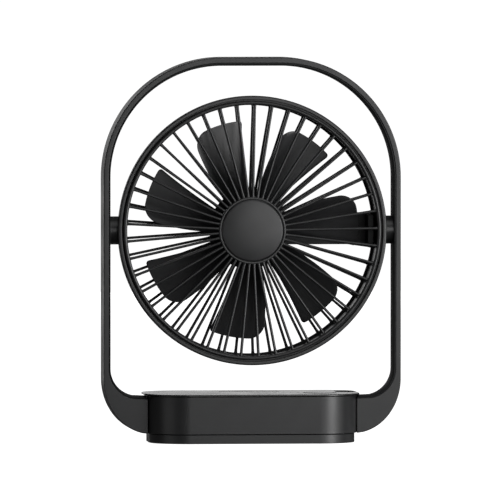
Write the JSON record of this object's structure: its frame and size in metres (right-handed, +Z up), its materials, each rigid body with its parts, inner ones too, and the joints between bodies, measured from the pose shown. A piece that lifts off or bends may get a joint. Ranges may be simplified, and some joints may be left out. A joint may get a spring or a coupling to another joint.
{
  "type": "desk fan",
  "caption": "Small battery desk fan: a round guarded head tilts inside a carrying hoop that stands on a low oblong base with a round push button.",
  "frame": {"origin": "middle of the base's footprint, on the surface that the fan stands on", "axes": "+Z up, air blows towards -Y, +X to the right seen from the front; the head tilts about X"},
  "size_m": [0.166, 0.059, 0.2146],
  "materials": {
    "base_shell": "satin moulded, fine grain",
    "deck": "smooth satin gloss",
    "hoop": "satin moulded, fine grain",
    "guard": "satin moulded",
    "grille": "satin moulded",
    "blades": "satin moulded",
    "hub_cap": "fine satin",
    "window": "smooth tinted",
    "lens": "smooth translucent",
    "rubber": "matte",
    "lead_jacket": "smooth vinyl",
    "steel": "machined",
    "copper": "varnished windings",
    "magnet": "sintered",
    "board": "solder mask",
    "cell_wrap": "shrink wrap",
    "switch": "moulded"
  },
  "bodies": {
    "stand": {"base_body": "base_shell", "base_top_cover": "deck", "base_bottom_plate": "base_shell", "rubber_foot_1": "rubber", "rubber_foot_2": "rubber", "rubber_foot_3": "rubber", "rubber_foot_4": "rubber", "base_screw_1": "steel", "base_screw_2": "steel", "base_screw_3": "steel", "base_screw_4": "steel", "hoop_screw_left": "steel", "hoop_screw_right": "steel", "battery_cell_front": "cell_wrap", "battery_cell_rear": "cell_wrap", "control_board": "board", "push_switch": "switch", "usb_socket": "steel", "indicator_lens_1": "lens", "indicator_lens_2": "lens", "indicator_lens_3": "lens", "indicator_lens_4": "lens", "indicator_lens_5": "lens", "indicator_window": "window", "hoop_band": "hoop", "hoop_inner_strip": "hoop", "pivot_pin_left": "steel", "pivot_pin_right": "steel", "friction_washer_left": "rubber", "friction_washer_right": "rubber", "fan_lead": "lead_jacket"},
    "head": {"guard_drum": "guard", "rear_grille": "grille", "front_grille": "grille", "hub_cap": "hub_cap", "motor_mount": "steel", "motor_stator": "copper", "motor_board": "board", "bearing_front": "steel", "bearing_rear": "steel", "rear_duct": "grille", "duct_cover": "guard", "lead_box": "grille", "motor_lead": "lead_jacket", "motor_screw_1": "steel", "motor_screw_2": "steel", "motor_screw_3": "steel", "motor_cap": "guard", "pivot_boss_left": "guard", "pivot_boss_right": "guard"},
    "impeller": {"impeller": "blades", "motor_shaft": "steel", "rotor_cup": "steel", "rotor_magnet": "magnet", "impeller_nut": "steel"},
    "power_button": {"power_button": "deck"}
  },
  "joints": [
    {"name": "head_tilt", "type": "hinge", "parent": "stand", "child": "head", "pos_m": [0, 0, 0.1183], "axis": [1, 0, 0], "range_deg": [-90, 90]},
    {"name": "impeller_spin", "type": "hinge", "parent": "head", "child": "impeller", "pos_m": [0, 0.004, 0.1183], "axis": [0, 1, 0], "continuous": true},
    {"name": "button_press", "type": "slide", "parent": "stand", "child": "power_button", "axis": [0, 0, -1], "range_m": [0, 0.0006], "stiffness_N_per_m": 600, "springref_m": -0.0005}
  ]
}
